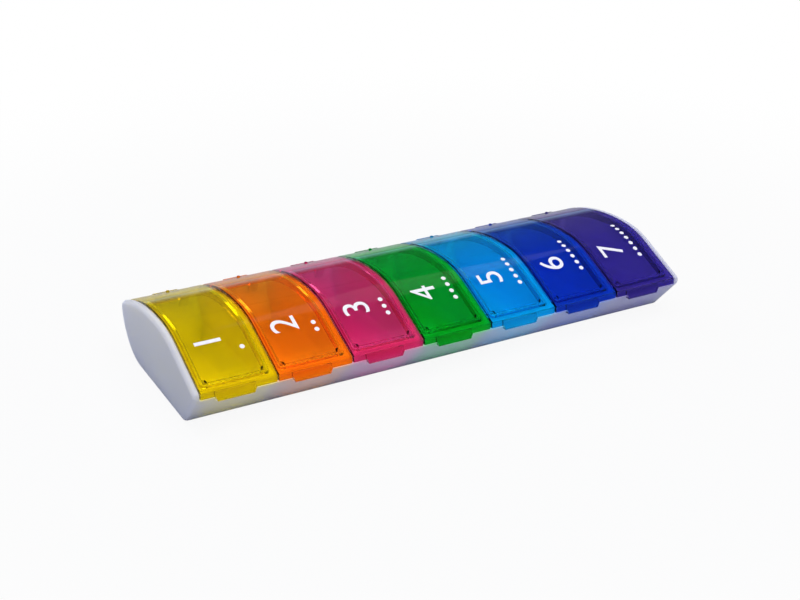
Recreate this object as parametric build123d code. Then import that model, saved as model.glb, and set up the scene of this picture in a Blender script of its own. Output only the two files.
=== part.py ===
from build123d import *
import os
from math import asin, atan2, cos, hypot, radians, sin, sqrt, tan

# Weekly pill organiser: one moulded tray with a row of compartments, and one flap lid over each.
# Millimetres. X runs along the row, the finger tabs face -Y, the hinges are at +Y, Z is up.
# The origin is on the table, under the middle of the organiser.

# Overall size
pitch = 24.0  # one lid and one gap
lid_gap = 0.4  # between two lids, and between a lid and the cheek beside it
cheek = 1.7  # end wall beside the lids
depth = 64.0
height = 24.1

# The long curve over the lids, seen from the end: one wide arc, a tighter one, a straight slope
shoulder_radius = 32.0
front_slope = 24.0  # degrees
nose_face = 2.1  # upright front face of the lids

# The hull under the lids
lip_height = 11.7  # lower edge of the lids at the front
undercut = 10.6  # how far the foot is set back behind the lids' front
rear_curve = 15.0  # radius from the foot up into the rear wall
rear_face = 1.9  # upright part of the rear wall above it
rim_round = 1.5  # around both end cheeks
nose_round = 1.5  # top of the lids' front edge, and the hull's edge under it
heel_round = 2.8  # top rear corner of the cheeks
foot_round = 1.8  # front edge of the foot
wall = 1.8  # front, rear and floor
partition = 2.6  # between two compartments

# Compartments
scoop_front = 5.0  # radius between floor and front wall
scoop_side = 6.0  # radius between floor and partitions
corner_round = 1.2  # upright corners of a compartment

# Lids
lid_thickness = 1.4
seat_gap = 0.3  # between a lid and what it closes on
lid_rear_inset = 4.3  # from the rear wall's outside to the lids' rear edge
edge_round = 0.4
gate_radius = 0.55  # mark of the mould's gate, in the middle of the rear edge
gate_proud = 0.35
skirt = 1.0  # thickness of the rib that reaches into the compartment
skirt_depth = 2.0
skirt_rear_inset = 2.5  # from the lid's rear edge
skirt_corner = 1.1  # also the radius of the posts in the skirt's front corners

# Finger tab, upright, so that it stands proud of the leaning wall
tab_drop = 1.8  # below the lid's lower edge
tab_top_width = 12.5
tab_bottom_width = 11.2
tab_aside = -1.0  # from the lid's middle
tab_back = 1.9  # from the lid's front to the tab's back
tab_clearance = 0.3

# Hinge
knuckle_radius = 1.7  # the lid's barrel, level with the lid's curve
ear_radius = 1.4
knuckle_gap = 0.3
hinge_inset = 3.0  # from the rear wall's outside to the pin
barrel_width = 8.0  # the lid's knuckle
ear_width = 3.0  # each of the tray's two knuckles
pin_radius = 0.75
pin_play = 0.05  # radial, in the lid's barrel
pin_seat = 0.02  # radial, in the tray's ears
rail_drop = 0.9  # top of the rear rail, below the pin's axis
gusset_drop = 5.6  # foot of the ears, below the pin's axis

# One lid for each compartment, from the left end
lid_names = [
    "lid_1_yellow", "lid_2_orange", "lid_3_pink", "lid_4_green", "lid_5_cyan", "lid_6_blue", "lid_7_purple"
]

# Worked out from the above
front = -depth / 2
rear = depth / 2
foot_y = front + undercut
bed_length = len(lid_names) * pitch + lid_gap
length = bed_length + 2 * cheek
lid_width = pitch - lid_gap
cell_width = pitch - partition
ledge = lip_height - seat_gap
bed_drop = lid_thickness + seat_gap
lid_rear = rear - lid_rear_inset
lean = undercut / lip_height  # of the front wall, forward for each millimetre up
ear_outside = barrel_width / 2 + knuckle_gap + ear_width
sky = 2 * height  # above everything, for cuts that run out at the top
margin = 5.0  # for cuts that run out at a side

# The wide arc runs over the middle at the full height and down to the rear face. The shoulder
# arc touches it from inside and runs on into the front slope.
crown_rise = height - rear_curve - rear_face
crown_radius = (rear**2 + crown_rise**2) / (2 * crown_rise)
slope_turn = -radians(front_slope)


def shoulder_centre():
    """Centre of the arc that touches both the crown arc and the front slope."""
    steep = tan(-slope_turn)
    crown_centre = height - crown_radius
    reach = crown_radius - shoulder_radius
    base = lip_height + nose_face - front * steep - shoulder_radius / cos(slope_turn) - crown_centre
    across = base / hypot(1, steep)
    y = (sqrt(reach**2 - across**2) - steep * across) / hypot(1, steep)
    return y, crown_centre + steep * y + base


shoulder_y, shoulder_z = shoulder_centre()
shoulder_turn = atan2(shoulder_y, shoulder_z - height + crown_radius)


def on_crown(turn, drop):
    """Point on the crown arc, turn radians behind the middle, drop below the surface."""
    reach = crown_radius - drop
    return reach * sin(turn), height - crown_radius + reach * cos(turn)


def on_shoulder(turn, drop):
    """Point on the shoulder arc, which leaves the crown arc smoothly."""
    reach = shoulder_radius - drop
    return shoulder_y + reach * sin(turn), shoulder_z + reach * cos(turn)


def lid_height(y):
    """Height of the lids' surface, on the crown arc or on the straight front slope."""
    slope_y, slope_z = on_shoulder(slope_turn, 0)
    if y < slope_y:
        return slope_z - (slope_y - y) * tan(-slope_turn)
    return height - crown_radius + sqrt(crown_radius**2 - y**2)


def under_lids(drop):
    """End view of everything below the lids' curve, drop below the surface."""
    behind = asin((rear + margin) / (crown_radius - drop))
    crown = [on_crown(turn, drop) for turn in (behind, (behind + shoulder_turn) / 2, shoulder_turn)]
    halfway = (shoulder_turn + slope_turn) / 2
    shoulder = [on_shoulder(turn, drop) for turn in (shoulder_turn, halfway, slope_turn)]
    slope_y, slope_z = shoulder[-1]
    ahead = front - margin
    low = Polyline(
        (slope_y, slope_z),
        (ahead, slope_z - (slope_y - ahead) * tan(-slope_turn)),
        (ahead, -margin),
        (crown[0][0], -margin),
        crown[0],
    )
    return make_face([ThreePointArc(*crown), ThreePointArc(*shoulder), low])


def block(left, right, low, high):
    """View of a plain block."""
    return Pos(left, low) * Rectangle(right - left, high - low, align=(Align.MIN, Align.MIN))


def slab(end_view, x_from, x_to):
    """Solid with this end view, between two places along the row."""
    return extrude(Plane.YZ.offset(x_from) * end_view, x_to - x_from)


def rod(y, z, radius, x_from, x_to):
    """Round bar along the row."""
    return slab(Pos(y, z) * Circle(radius), x_from, x_to)


def round_corner(view, across, up, radius):
    """Round the corner of a view that lies nearest to a point."""
    corner = view.vertices().sort_by_distance((across, up, 0))[0]
    return fillet(corner, radius)


def inner_front(z):
    """Where the front wall's inner face is, at this height."""
    level_wall = wall * hypot(undercut, lip_height) / lip_height
    return foot_y - z * lean + level_wall


def outline():
    """End view of the closed organiser."""
    rear_arc = CenterArc((rear - rear_curve, rear_curve), rear_curve, 270, 90)
    sides = Polyline(
        (rear - rear_curve, 0), (foot_y, 0), (front, lip_height), (front, sky), (rear, sky), (rear, rear_curve)
    )
    view = make_face([rear_arc, sides]) & under_lids(0)
    view = round_corner(view, front, lid_height(front), nose_round)
    view = round_corner(view, rear, lid_height(rear), heel_round)
    view = round_corner(view, front, lip_height, nose_round)
    return round_corner(view, foot_y, 0, foot_round)


def hull():
    """The closed organiser in one piece, with the rims of both cheeks rounded."""
    body = slab(outline(), -length / 2, length / 2)
    rims = body.edges().group_by(Axis.X)
    return fillet(rims[0] + rims[-1], rim_round)


def lid_bed():
    """What is taken off the hull to make room for the lids."""
    over = block(front - margin, rear + margin, 0, sky) - under_lids(bed_drop)
    nose = block(front - margin, front + bed_drop, ledge, sky)
    rail = block(lid_rear, rear + margin, rail_top, sky)
    return slab(over + nose + rail, -bed_length / 2, bed_length / 2)


def cell():
    """The hollow of one compartment: sloping front, flat floor, curved rear, rounded sides."""
    rear_arc = CenterArc((rear - rear_curve, rear_curve), rear_curve - wall, 270, 90)
    sides = Polyline(
        (rear - rear_curve, wall),
        (inner_front(wall), wall),
        (inner_front(ledge), ledge),
        (inner_front(ledge), sky),
        (rear - wall, sky),
        (rear - wall, rear_curve),
    )
    end_view = round_corner(make_face([rear_arc, sides]), inner_front(wall), wall, scoop_front)
    hollow = slab(end_view, -cell_width / 2, cell_width / 2)
    ends = hollow.edges().group_by(Axis.X)
    hollow = fillet(ends[0] + ends[-1], corner_round)
    front_view = block(-cell_width / 2, cell_width / 2, wall, sky)
    front_view = round_corner(front_view, -cell_width / 2, wall, scoop_side)
    front_view = round_corner(front_view, cell_width / 2, wall, scoop_side)
    return hollow & extrude(Plane.XZ * front_view, depth, both=True)


def tab_view(clearance):
    """Front view of the finger tab, or of its notch in the tray with a clearance around it."""
    low = lip_height - tab_drop
    spread = (tab_top_width - tab_bottom_width) / 2 / tab_drop
    aside = clearance * hypot(1, spread)
    half_top = tab_top_width / 2 + aside
    half_low = tab_bottom_width / 2 + aside - clearance * spread
    corners = [(-half_low, low - clearance), (half_low, low - clearance), (half_top, lip_height)]
    corners += [(half_top, sky), (-half_top, sky), (-half_top, lip_height)]
    return Pos(tab_aside, 0) * make_face(Polyline(*corners, close=True))


def tab_room(clearance):
    """The finger tab's view carried back from in front of the hull."""
    thickness = tab_back + clearance
    return extrude(Plane.XZ.offset(-front - thickness) * tab_view(clearance), thickness + margin)


def ears():
    """The tray's two knuckles for one lid, with their gussets on the rear wall."""
    foot = hinge_z - gusset_drop
    gusset = Polyline(
        (hinge_y - ear_radius, hinge_z),
        (hinge_y - ear_radius, hinge_z - ear_radius),
        (rear - wall, foot),
        (hinge_y + ear_radius, foot),
        (hinge_y + ear_radius, hinge_z),
        close=True,
    )
    view = make_face(gusset) + Pos(hinge_y, hinge_z) * Circle(ear_radius)
    view -= Pos(hinge_y, hinge_z) * Circle(pin_radius + pin_seat)
    return [slab(view, side, side + ear_width) for side in (-ear_outside, ear_outside - ear_width)]


def tray():
    """The white moulding: hull, cheeks, compartments, tab notches and the hinge's ears."""
    body = hull() - lid_bed()
    hollow = cell()
    notch = tab_room(tab_clearance)
    half_pocket = barrel_width / 2 + knuckle_gap
    pocket = rod(hinge_y, hinge_z, knuckle_radius + knuckle_gap, -half_pocket, half_pocket)
    for place in lid_places:
        body -= Pos(place) * (hollow + notch + pocket)
    for place in lid_places:
        for ear in ears():
            body += Pos(place) * ear
    return body


def skirt_ring():
    """The rib under a lid that reaches into the compartment, with a post in each front corner."""
    low_front = lid_height(inner_front(ledge)) - (lid_thickness + skirt_depth) / cos(slope_turn)
    nearest = inner_front(min(ledge, low_front)) + seat_gap
    width = cell_width - 2 * seat_gap
    run = lid_rear - skirt_rear_inset - nearest
    ring = RectangleRounded(width, run, skirt_corner)
    ring -= RectangleRounded(width - 2 * skirt, run - 2 * skirt, skirt_corner / 2)
    for side in (-1, 1):
        ring += Pos(side * (width / 2 - skirt_corner), skirt_corner - run / 2) * Circle(skirt_corner)
    upright = extrude(Pos(0, nearest + run / 2, 0) * ring, sky)
    band = under_lids(lid_thickness / 2) - under_lids(lid_thickness + skirt_depth)
    return upright & slab(band, -pitch / 2, pitch / 2)


def lid():
    """One flap lid: curved shell, turned-down nose with the finger tab, skirt and hinge barrel."""
    over = outline() & block(front, lid_rear, lip_height, sky)
    inside = under_lids(lid_thickness) & block(front + lid_thickness, rear, 0, sky)
    shell = slab(over - inside, -lid_width / 2, lid_width / 2)
    sides = shell.edges().group_by(Axis.X)
    outer = [e for e in sides[0] + sides[-1] if (e @ 0.5).Z > lid_height((e @ 0.5).Y) - lid_thickness / 2]
    shell = fillet(outer, edge_round)
    ear_room = block(hinge_y - ear_radius - knuckle_gap, rear, 0, sky)
    shell -= slab(ear_room, -ear_outside - knuckle_gap, ear_outside + knuckle_gap)
    tongue = (under_lids(0) - under_lids(lid_thickness)) & block(lid_rear - lid_thickness, hinge_y, 0, sky)
    knuckle = tongue + Pos(hinge_y, hinge_z) * Circle(knuckle_radius)
    shell += slab(knuckle, -barrel_width / 2, barrel_width / 2)
    shell -= rod(hinge_y, hinge_z, pin_radius + pin_play, -barrel_width, barrel_width)
    tab_low = lip_height - tab_drop
    nose_middle = (lip_height + lid_height(front)) / 2
    tab_side = round_corner(block(front, front + tab_back, tab_low, nose_middle), front, tab_low, edge_round)
    tab = tab_room(0) & slab(tab_side, -pitch / 2, pitch / 2)
    gate_y = lid_rear - 2 * gate_radius
    gate_top = lid_height(gate_y) + gate_proud
    gate = Pos(0, gate_y, gate_top) * extrude(Circle(gate_radius), -gate_proud - lid_thickness / 2)
    return shell + tab + skirt_ring() + gate


def hinge_pin():
    """Straight pin through the two ears and the lid's barrel, flush with the ears' outsides."""
    return rod(hinge_y, hinge_z, pin_radius, -ear_outside, ear_outside)


hinge_y = rear - hinge_inset
hinge_z = lid_height(hinge_y) - knuckle_radius
rail_top = hinge_z - rail_drop
lid_places = [((i - (len(lid_names) - 1) / 2) * pitch, 0, 0) for i in range(len(lid_names))]

os.makedirs("parts", exist_ok=True)
export_step(tray(), "parts/tray.step")
one_lid = lid()
one_pin = hinge_pin()
for i, (name, place) in enumerate(zip(lid_names, lid_places), start=1):
    export_step(Pos(place) * one_lid, f"parts/{name}.step")
    export_step(Pos(place) * one_pin, f"parts/hinge_pin_{i}.step")
print("length", round(length, 2), "hinge at", round(hinge_y, 3), round(hinge_z, 3))
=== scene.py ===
# %% [markdown]
# # A weekly pill organizer with seven clear flap lids
# The real thing is a slim box, about as long as a hand: a white moulded tray with seven compartments,
# and over each compartment a glossy lid in its own transparent colour, which turns up about a wire at
# the rear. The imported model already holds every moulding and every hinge, so nothing is moved or
# resized here. This lesson sets up the camera, the table and the lamps, gives each moulding its
# plastic, and prints a day's number on each lid.

# %% Load the fixed frame
from math import radians

import bpy
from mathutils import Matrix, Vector


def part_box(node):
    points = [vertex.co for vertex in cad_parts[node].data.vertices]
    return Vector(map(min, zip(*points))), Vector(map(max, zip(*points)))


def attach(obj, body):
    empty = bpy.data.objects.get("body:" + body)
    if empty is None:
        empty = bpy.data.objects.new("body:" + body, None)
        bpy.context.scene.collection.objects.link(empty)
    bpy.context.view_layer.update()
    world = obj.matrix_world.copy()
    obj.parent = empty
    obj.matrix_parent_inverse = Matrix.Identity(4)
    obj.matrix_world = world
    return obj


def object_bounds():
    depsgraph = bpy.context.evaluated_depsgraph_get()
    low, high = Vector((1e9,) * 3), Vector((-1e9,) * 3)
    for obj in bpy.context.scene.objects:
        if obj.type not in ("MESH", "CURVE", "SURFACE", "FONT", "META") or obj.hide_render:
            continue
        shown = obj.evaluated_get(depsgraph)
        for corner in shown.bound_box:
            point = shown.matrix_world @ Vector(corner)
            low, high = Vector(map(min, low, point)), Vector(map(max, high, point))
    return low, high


MM = 0.001  # one millimetre, in Blender's metres

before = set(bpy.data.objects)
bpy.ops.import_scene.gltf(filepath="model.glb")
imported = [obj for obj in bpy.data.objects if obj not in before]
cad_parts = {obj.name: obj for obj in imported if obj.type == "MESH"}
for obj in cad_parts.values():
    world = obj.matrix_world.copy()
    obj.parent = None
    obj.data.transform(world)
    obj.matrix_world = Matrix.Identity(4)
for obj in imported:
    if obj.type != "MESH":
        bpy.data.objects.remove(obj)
cad_low, cad_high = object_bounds()
middle = (cad_low + cad_high) / 2
print("size in mm:", [round(v / MM, 1) for v in cad_high - cad_low])

# %% [markdown]
# ## Helpers
# Colours are written as the hex values that a colour picker shows. A picker's numbers are bent to suit
# the eye, and light adds up only in straight numbers, so the first function unbends them. The next one
# adds a node to any tree, for a material, the sky or geometry: its inputs are numbers, or sockets to
# link to. The last two save some typing in the sky and the table, which show one face to the camera
# and another to a mirroring lid.

# %% Colour and node helpers
def linear(code):
    """Linear RGBA of an sRGB hex colour such as "#C0FFEE"."""
    parts = [int(code[i:i + 2], 16) / 255 for i in (1, 3, 5)]
    straight = [p / 12.92 if p <= 0.04045 else ((p + 0.055) / 1.055) ** 2.4 for p in parts]
    return (*straight, 1.0)


def add(tree, kind, inputs=None, **settings):
    """Add a node. Each input is a value, or the output socket that feeds it."""
    node = tree.nodes.new(kind)
    for name, value in settings.items():
        setattr(node, name, value)
    for key, value in (inputs or {}).items():
        if isinstance(value, bpy.types.NodeSocket):
            tree.links.new(value, node.inputs[key])
        else:
            node.inputs[key].default_value = value
    return node


def new_material(name):
    """An empty material and its node tree."""
    material = bpy.data.materials.new(name)
    material.use_nodes = True
    material.node_tree.nodes.clear()
    return material, material.node_tree


def mix_colours(tree, share, first, second):
    """The first colour where the share is 0, the second where it is 1."""
    node = add(tree, "ShaderNodeMix", {0: share, 6: linear(first), 7: linear(second)}, data_type="RGBA")
    return node.outputs[2]


def ray_kinds(tree):
    """1 or 0: does the eye look here, straight or through clear plastic? And is it mirrored here?"""
    path = add(tree, "ShaderNodeLightPath").outputs
    seen = add(tree, "ShaderNodeMath", {0: path["Is Camera Ray"], 1: path["Is Transmission Ray"]},
               operation="MAXIMUM")
    return seen.outputs[0], path["Is Glossy Ray"]


print("mid grey is", [round(v, 3) for v in linear("#808080")])

# %% [markdown]
# ## The camera
# The organizer is seen from its left front, a little from above. The place and the lens were found by
# matching the corners of the seven equal lids, so they are real distances from the middle of the
# organizer's foot. The sensor is the usual 36 mm wide one.

# %% Camera
CAMERA_PLACE = Vector((-191.9, -346.8, 194.1)) * MM
CAMERA_AIM = Vector((0.15, 5.7, 8.9)) * MM
CAMERA_LENS = 60.3  # mm
CAMERA_SENSOR = 36.0  # mm
NEAREST = 10 * MM
FARTHEST = 20.0  # metres

camera_data = bpy.data.cameras.new("camera")
camera_data.lens = CAMERA_LENS
camera_data.sensor_width = CAMERA_SENSOR
camera_data.clip_start = NEAREST
camera_data.clip_end = FARTHEST
camera = bpy.data.objects.new("camera", camera_data)
camera.location = CAMERA_PLACE
camera.rotation_euler = (CAMERA_AIM - CAMERA_PLACE).to_track_quat("-Z", "Y").to_euler()
bpy.context.scene.collection.objects.link(camera)
bpy.context.scene.camera = camera
print("camera is", round((CAMERA_AIM - CAMERA_PLACE).length / MM), "mm away")

# %% [markdown]
# ## The sky
# Clear glossy lids show what is around them as much as their own colour. A bright wall behind the
# organizer is mirrored in their rear curve, where the eye meets them at a flat angle, and a dark
# ceiling keeps the colours deep in front. So the sky looks white to the camera, but its mirror image
# is pale blue near the horizon and nearly black higher up. The light that it gives is even, and goes
# from the blue of a window on the left to a warm white on the right.

# %% Sky
SKY_LIGHT = 0.31  # even light from all round
WINDOW_BLUE = "#C0D0FF"
ROOM_WHITE = "#FFFAF0"
WALL_BLUE = "#C4E6FF"
WALL = 1.0  # how bright the wall looks in a lid
CEILING = 0.04  # and how bright the ceiling looks there
WALL_TOP = -0.06  # sine of the angle above the horizon up to which the wall is bright
CEILING_FROM = 0.14  # and from which the ceiling is dark

world = bpy.data.worlds.new("studio")
world.use_nodes = True
sky = world.node_tree
sky.nodes.clear()
seen, in_mirror = ray_kinds(sky)
towards = add(sky, "ShaderNodeTexCoord").outputs["Generated"]
towards = add(sky, "ShaderNodeSeparateXYZ", {0: towards}).outputs
height = add(sky, "ShaderNodeMapRange", {
    "Value": towards["Z"], "From Min": WALL_TOP, "From Max": CEILING_FROM,
    "To Min": WALL, "To Max": CEILING,
}, interpolation_type="SMOOTHSTEP").outputs["Result"]
mirrored = add(sky, "ShaderNodeBackground", {"Color": linear(WALL_BLUE), "Strength": height})
rightwards = add(sky, "ShaderNodeMapRange", {"Value": towards["X"], "From Min": -1.0}).outputs["Result"]
daylight = mix_colours(sky, rightwards, WINDOW_BLUE, ROOM_WHITE)
lighting = add(sky, "ShaderNodeBackground", {"Color": daylight, "Strength": SKY_LIGHT})
white = add(sky, "ShaderNodeBackground", {"Color": linear("#FFFFFF"), "Strength": 1.0})
unseen = add(sky, "ShaderNodeMixShader", {0: in_mirror, 1: lighting.outputs[0], 2: mirrored.outputs[0]})
shown = add(sky, "ShaderNodeMixShader", {0: seen, 1: unseen.outputs[0], 2: white.outputs[0]})
add(sky, "ShaderNodeOutputWorld", {"Surface": shown.outputs[0]})
bpy.context.scene.world = world
bpy.context.scene.view_settings.view_transform = "Standard"
print("sky light", SKY_LIGHT, "and a wall", round(WALL / CEILING), "times as bright as the ceiling")

# %% [markdown]
# ## The table
# The table is pale paper. What the camera sees of it is mostly plain white, so that it keeps only a
# faint shadow, and farther out all of it is, so that it runs on into the white sky without an edge. In
# front of the organizer its mirror image is painted dark, a painted shade that stands in for a black
# card that isn't there: the upright tabs face that way, and their colour stays deep.

# %% Table
TABLE_SIZE = 6.0  # metres across, far past the picture's edges
TABLE_BELOW = 0.02 * MM  # so that the foot and the table aren't in one plane
TABLE_PAPER = "#C4C5C9"
TABLE_GLOW = 0.92  # share of plain white in what the camera sees near the organizer
SHADOW_REACH, WHITE_FROM = 100 * MM, 350 * MM  # how far out that holds, and where plain white begins
FRONT_SHADE = 0.9  # painted shade: how much darker the table's mirror image is painted, in front of the organizer
BACK_SHADE = 0.2  # and behind it
FRONT_TO, BACK_FROM = -20 * MM, 60 * MM  # where the front ends and the back begins, along Y

table_material, tree = new_material("white_table")
seen, in_mirror = ray_kinds(tree)
place = add(tree, "ShaderNodeNewGeometry").outputs["Position"]
away = add(tree, "ShaderNodeVectorMath", {0: place}, operation="LENGTH").outputs["Value"]
share = add(tree, "ShaderNodeMapRange", {
    "Value": away, "From Min": SHADOW_REACH, "From Max": WHITE_FROM, "To Min": TABLE_GLOW, "To Max": 1.0,
}, interpolation_type="SMOOTHSTEP").outputs["Result"]
share = add(tree, "ShaderNodeMath", {0: seen, 1: share}, operation="MULTIPLY").outputs[0]
# painted shade: what a mirror sees of the table is painted darker in front of the organizer, paler behind
# it
backwards = add(tree, "ShaderNodeSeparateXYZ", {0: place}).outputs["Y"]
shade = add(tree, "ShaderNodeMapRange", {
    "Value": backwards, "From Min": FRONT_TO, "From Max": BACK_FROM,
    "To Min": FRONT_SHADE, "To Max": BACK_SHADE,
}).outputs["Result"]
shade = add(tree, "ShaderNodeMath", {0: in_mirror, 1: shade}, operation="MULTIPLY").outputs[0]
tone = mix_colours(tree, shade, TABLE_PAPER, "#000000")
paper = add(tree, "ShaderNodeBsdfDiffuse", {"Color": tone})
glow = add(tree, "ShaderNodeEmission", {"Color": linear("#FFFFFF"), "Strength": 1.0})
mixed = add(tree, "ShaderNodeMixShader", {0: share, 1: paper.outputs[0], 2: glow.outputs[0]})
add(tree, "ShaderNodeOutputMaterial", {"Surface": mixed.outputs[0]})

half = TABLE_SIZE / 2
corners = [(-half, -half, 0), (half, -half, 0), (half, half, 0), (-half, half, 0)]
table_mesh = bpy.data.meshes.new("table")
table_mesh.from_pydata(corners, [], [(0, 1, 2, 3)])
table_mesh.materials.append(table_material)
table = bpy.data.objects.new("table", table_mesh)
table.location.z = cad_low.z - TABLE_BELOW
bpy.context.scene.collection.objects.link(table)
print("table stands at", round(table.location.z / MM, 2), "mm")

# %% [markdown]
# ## The lamps
# The key light is a big soft box above the organizer and a little in front of it. A smaller one low
# behind on the left does the work of a window: it lights the lids through their rear edges and leaves
# bright lines along the creases. No lid mirrors these boxes, or they would lay a white veil over the
# colours. A small dim card high behind on the right is mirrored instead, as a faint band across the
# lids.

# %% Lamps
def softbox(name, place, size, watts, mirrored):
    """A square soft lamp that faces the organizer. A mirrored one shows as a highlight."""
    lamp_data = bpy.data.lights.new(name, "AREA")
    lamp_data.shape = "SQUARE"
    lamp_data.size = size
    lamp_data.energy = watts
    lamp = bpy.data.objects.new(name, lamp_data)
    lamp.location = place
    lamp.rotation_euler = (middle - place).to_track_quat("-Z", "Y").to_euler()
    lamp.visible_glossy = mirrored
    bpy.context.scene.collection.objects.link(lamp)
    print(name, "lamp,", round((middle - place).length, 2), "m away")


softbox("key", place=Vector((0.0, -0.25, 0.75)), size=0.9, watts=6.6, mirrored=False)
softbox("window", place=Vector((-0.22, 0.72, 0.45)), size=0.3, watts=2.4, mirrored=False)
softbox("card", place=Vector((0.42, 0.40, 0.80)), size=0.3, watts=0.07, mirrored=True)

# %% [markdown]
# ## The white tray
# The tray is injection moulded from white polystyrene. The mould's satin finish gives it a soft sheen
# with no sharp reflections, and where the melt ran slower the white is a touch duller. One noise a few
# centimetres wide does the flow marks, and another, as fine as the grain that shows, the surface.
# Light wanders some millimetres inside the white walls. That is why the front wall picks up a little
# of the colour of the lids above it.

# %% Moulded polystyrene
DULL_WHITE, CLEAN_WHITE = "#D4D8F4", "#DCE0FA"
FLOW_SIZE = 30 * MM
GRAIN_SIZE = 0.35 * MM
GRAIN_DEPTH = 0.02 * MM
GLOW_THROUGH = 0.7  # share of the light that wanders inside the walls
GLOW_REACH = 8.0 * MM


def moulded_polystyrene():
    """Satin white plastic that light gets a little way into."""
    material, tree = new_material("moulded_polystyrene")
    place = add(tree, "ShaderNodeTexCoord").outputs["Object"]
    flow = add(tree, "ShaderNodeTexNoise", {"Vector": place, "Scale": 1 / FLOW_SIZE, "Detail": 3.0})
    tone = add(tree, "ShaderNodeValToRGB", {"Fac": flow.outputs["Fac"]})
    tone.color_ramp.elements[0].color = linear(DULL_WHITE)
    tone.color_ramp.elements[1].color = linear(CLEAN_WHITE)
    gloss = add(tree, "ShaderNodeMapRange", {"Value": flow.outputs["Fac"], "To Min": 0.36, "To Max": 0.46})
    grain = add(tree, "ShaderNodeTexNoise", {"Vector": place, "Scale": 1 / GRAIN_SIZE, "Detail": 2.0})
    bump = add(tree, "ShaderNodeBump", {
        "Height": grain.outputs["Fac"], "Strength": 0.12, "Distance": GRAIN_DEPTH,
    })
    plastic = add(tree, "ShaderNodeBsdfPrincipled", {
        "Base Color": tone.outputs["Color"], "Roughness": gloss.outputs["Result"], "IOR": 1.5,
        "Normal": bump.outputs["Normal"], "Subsurface Weight": GLOW_THROUGH,
        "Subsurface Radius": (1.0, 1.0, 1.0), "Subsurface Scale": GLOW_REACH,
    })
    add(tree, "ShaderNodeOutputMaterial", {"Surface": plastic.outputs[0]})
    return material


def paint(node, material):
    """Give a CAD node its material."""
    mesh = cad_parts[node].data
    mesh.materials.clear()
    mesh.materials.append(material)
    print(node, "is", material.name)


paint("tray", moulded_polystyrene())

# %% [markdown]
# ## The seven clear lids
# The lids are styrene acrylonitrile, a hard clear plastic that is dyed through and moulded against a
# polished steel cavity. It bends light like glass and mirrors its surroundings. Light that goes through
# a dyed wall comes out in its colour, and it goes through twice: once on its way to the white tray, and
# again on its way back to the eye. Blender's refracting shader stops a lamp's direct light, so for
# shadow rays alone a plain tinted filter takes its place, and the tray inside is lit in colour.

# %% Dyed styrene acrylonitrile
LID_TINTS = {
    "lid_1_yellow": "#E8D404",
    "lid_2_orange": "#F8A21E",
    "lid_3_pink": "#E45C92",
    "lid_4_green": "#0EC24A",
    "lid_5_cyan": "#0ABEE2",
    "lid_6_blue": "#2C68C8",
    "lid_7_purple": "#6C5CB0",
}
RIPPLE_SIZE = 5 * MM  # a polished cavity is never quite flat
RIPPLE_DEPTH = 0.004 * MM


def dyed_clear_plastic(name, tint):
    """Clear glossy plastic of one dye. Its index of refraction is 1.57."""
    material, tree = new_material(name)
    place = add(tree, "ShaderNodeTexCoord").outputs["Object"]
    ripple = add(tree, "ShaderNodeTexNoise", {"Vector": place, "Scale": 1 / RIPPLE_SIZE, "Detail": 2.0})
    bump = add(tree, "ShaderNodeBump", {
        "Height": ripple.outputs["Fac"], "Strength": 0.15, "Distance": RIPPLE_DEPTH,
    })
    dyed = linear(tint)
    wall = add(tree, "ShaderNodeBsdfPrincipled", {
        "Base Color": dyed, "Roughness": 0.03, "IOR": 1.57, "Transmission Weight": 1.0,
        "Normal": bump.outputs["Normal"],
    })
    one_face = [part ** 0.5 for part in dyed[:3]]  # a wall has two faces, and each takes half the dye
    tinted_filter = add(tree, "ShaderNodeBsdfTransparent", {"Color": (*one_face, 1.0)})
    path = add(tree, "ShaderNodeLightPath")
    surface = add(tree, "ShaderNodeMixShader", {
        0: path.outputs["Is Shadow Ray"], 1: wall.outputs[0], 2: tinted_filter.outputs[0],
    })
    add(tree, "ShaderNodeOutputMaterial", {"Surface": surface.outputs[0]})
    return material


for lid, tint in LID_TINTS.items():
    paint(lid, dyed_clear_plastic("dyed_" + lid.split("_")[2], tint))

# %% [markdown]
# ## The hinge wires
# Each lid turns about a short straight piece of drawn steel wire. Drawing leaves fine lines along it,
# which stretch the reflections around the wire.

# %% Drawn steel wire
DRAW_LINE = 0.05 * MM  # from one line to the next
LINE_STRETCH = 0.02  # the pattern is fifty times as long along the wire


def drawn_steel_wire():
    """Bright steel, a little rough across the drawing lines that run along X."""
    material, tree = new_material("drawn_steel_wire")
    place = add(tree, "ShaderNodeTexCoord").outputs["Object"]
    stretched = add(tree, "ShaderNodeMapping", {"Vector": place, "Scale": (LINE_STRETCH, 1.0, 1.0)})
    lines = add(tree, "ShaderNodeTexNoise", {"Vector": stretched.outputs[0], "Scale": 1 / DRAW_LINE})
    gloss = add(tree, "ShaderNodeMapRange", {"Value": lines.outputs["Fac"], "To Min": 0.2, "To Max": 0.4})
    steel = add(tree, "ShaderNodeBsdfPrincipled", {
        "Base Color": linear("#C8C9CC"), "Metallic": 1.0, "Roughness": gloss.outputs["Result"],
    })
    add(tree, "ShaderNodeOutputMaterial", {"Surface": steel.outputs[0]})
    return material


wire = drawn_steel_wire()
for day in range(1, len(LID_TINTS) + 1):
    paint(f"hinge_pin_{day}", wire)

# %% [markdown]
# ## The printed numbers
# Each lid carries white print that reads from the front edge towards the hinge. Here it is a plain
# number, with as many dots beside it, so that it can be counted in any language. The same small print
# repeats with another number on every lid, and it has to follow the lid's curve, so a Geometry Nodes
# tree makes it: it writes the number, sets out the dots, turns both towards the hinge, and then drops
# every point straight down onto the lid.

# %% White pad print
MOTTLE_SIZE = 0.6 * MM


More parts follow.
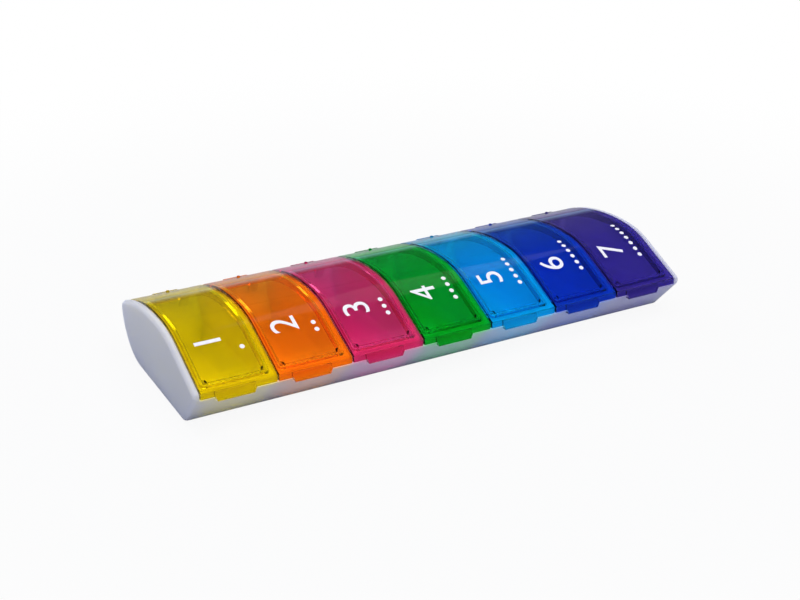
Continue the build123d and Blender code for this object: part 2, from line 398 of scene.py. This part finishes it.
def white_ink():
    """Opaque white ink, matt, with the faint mottling of a print from a soft pad."""
    material, tree = new_material("white_ink")
    place = add(tree, "ShaderNodeTexCoord").outputs["Object"]
    mottle = add(tree, "ShaderNodeTexNoise", {"Vector": place, "Scale": 1 / MOTTLE_SIZE, "Detail": 2.0})
    tone = add(tree, "ShaderNodeValToRGB", {"Fac": mottle.outputs["Fac"]})
    tone.color_ramp.elements[0].color = linear("#E6E6EE")
    tone.color_ramp.elements[1].color = linear("#FAFAFF")
    ink = add(tree, "ShaderNodeBsdfPrincipled", {"Base Color": tone.outputs["Color"], "Roughness": 0.5})
    add(tree, "ShaderNodeOutputMaterial", {"Surface": ink.outputs[0]})
    return material


ink = white_ink()
print("the print is", ink.name)

# %% The print's node tree
DOT_CORNERS = 20
PRINT_FINENESS = 3  # times that each triangle is split, so that it can follow the curve


def print_tree():
    """Geometry Nodes that print a number and as many dots on a lid."""
    tree = bpy.data.node_groups.new("day_print", "GeometryNodeTree")
    sockets = {
        "Lid": "Object", "Number": "String", "Dots": "Int", "Number Size": "Float", "Dot Radius": "Float",
        "Dot Spacing": "Float", "Number Place": "Vector", "Dot Place": "Vector", "Ink": "Material",
    }
    for name, kind in sockets.items():
        tree.interface.new_socket(name, in_out="INPUT", socket_type="NodeSocket" + kind)
    tree.interface.new_socket("Geometry", in_out="OUTPUT", socket_type="NodeSocketGeometry")
    given = add(tree, "NodeGroupInput").outputs
    quarter_turn = (0.0, 0.0, radians(90))

    written = add(tree, "GeometryNodeStringToCurves", {
        "String": given["Number"], "Size": given["Number Size"],
    }, align_x="CENTER", align_y="MIDDLE")
    outline = add(tree, "GeometryNodeRealizeInstances", {"Geometry": written.outputs["Curve Instances"]})
    number = add(tree, "GeometryNodeFillCurve", {"Curve": outline.outputs[0]})
    number = add(tree, "GeometryNodeTransform", {
        "Geometry": number.outputs[0], "Rotation": quarter_turn, "Translation": given["Number Place"],
    })

    step = add(tree, "ShaderNodeCombineXYZ", {"Y": given["Dot Spacing"]})
    row = add(tree, "GeometryNodeMeshLine", {
        "Count": given["Dots"], "Start Location": given["Dot Place"], "Offset": step.outputs[0],
    })
    dot = add(tree, "GeometryNodeMeshCircle", {
        "Vertices": DOT_CORNERS, "Radius": given["Dot Radius"],
    }, fill_type="TRIANGLE_FAN")
    dots = add(tree, "GeometryNodeInstanceOnPoints", {"Points": row.outputs[0], "Instance": dot.outputs[0]})
    dots = add(tree, "GeometryNodeRealizeInstances", {"Geometry": dots.outputs[0]})

    flat = add(tree, "GeometryNodeJoinGeometry")
    tree.links.new(number.outputs[0], flat.inputs[0])
    tree.links.new(dots.outputs[0], flat.inputs[0])
    fine = add(tree, "GeometryNodeTriangulate", {"Mesh": flat.outputs[0]})
    fine = add(tree, "GeometryNodeSubdivideMesh", {"Mesh": fine.outputs[0], "Level": PRINT_FINENESS})

    lid = add(tree, "GeometryNodeObjectInfo", {"Object": given["Lid"]})
    drop = add(tree, "GeometryNodeRaycast", {
        "Target Geometry": lid.outputs["Geometry"], "Ray Direction": (0.0, 0.0, -1.0), "Ray Length": 1.0,
    })
    laid = add(tree, "GeometryNodeSetPosition", {
        "Geometry": fine.outputs[0], "Position": drop.outputs["Hit Position"],
    })
    inked = add(tree, "GeometryNodeSetMaterial", {"Geometry": laid.outputs[0], "Material": given["Ink"]})
    add(tree, "NodeGroupOutput", {"Geometry": inked.outputs[0]})
    return tree


day_print = print_tree()
print("the print's tree has", len(day_print.nodes), "nodes")

# %% Print every lid
NUMBER_SIZE = 12.0 * MM
DOT_RADIUS = 0.75 * MM
DOT_SPACING = 2.6 * MM
NUMBER_ASIDE = -2.6 * MM  # from the lid's middle line
DOTS_ASIDE = 6.0 * MM
NUMBER_FORWARD = -16.0 * MM
DOTS_FORWARD = -20.0 * MM  # the first dot
FILM = 0.04 * MM  # thickness of the ink
ABOVE = 50 * MM  # the print starts well above the lid

identifiers = {s.name: s.identifier for s in day_print.interface.items_tree}
for day, lid_name in enumerate(LID_TINTS, start=1):
    low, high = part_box(lid_name)
    across = (low.x + high.x) / 2
    source = bpy.data.objects.new("print_source", bpy.data.meshes.new("print_source"))
    bpy.context.scene.collection.objects.link(source)
    nodes = source.modifiers.new("print", "NODES")
    nodes.node_group = day_print
    values = {
        "Lid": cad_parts[lid_name], "Number": str(day), "Dots": day, "Number Size": NUMBER_SIZE,
        "Dot Radius": DOT_RADIUS, "Dot Spacing": DOT_SPACING, "Ink": ink,
        "Number Place": (across + NUMBER_ASIDE, NUMBER_FORWARD, ABOVE),
        "Dot Place": (across + DOTS_ASIDE, DOTS_FORWARD, ABOVE),
    }
    for name, value in values.items():
        nodes[identifiers[name]] = value
    film = source.modifiers.new("film", "SOLIDIFY")
    film.thickness = FILM
    film.offset = 1.0  # outwards, away from the lid
    bpy.context.view_layer.update()
    evaluated = source.evaluated_get(bpy.context.evaluated_depsgraph_get())
    mesh = bpy.data.meshes.new_from_object(evaluated)
    mesh.name = f"lid_{day}_print"
    bpy.data.objects.remove(source)
    printed = bpy.data.objects.new(mesh.name, mesh)
    bpy.context.scene.collection.objects.link(printed)
    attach(printed, f"flap_{day}")
    print(mesh.name, len(mesh.polygons), "faces")
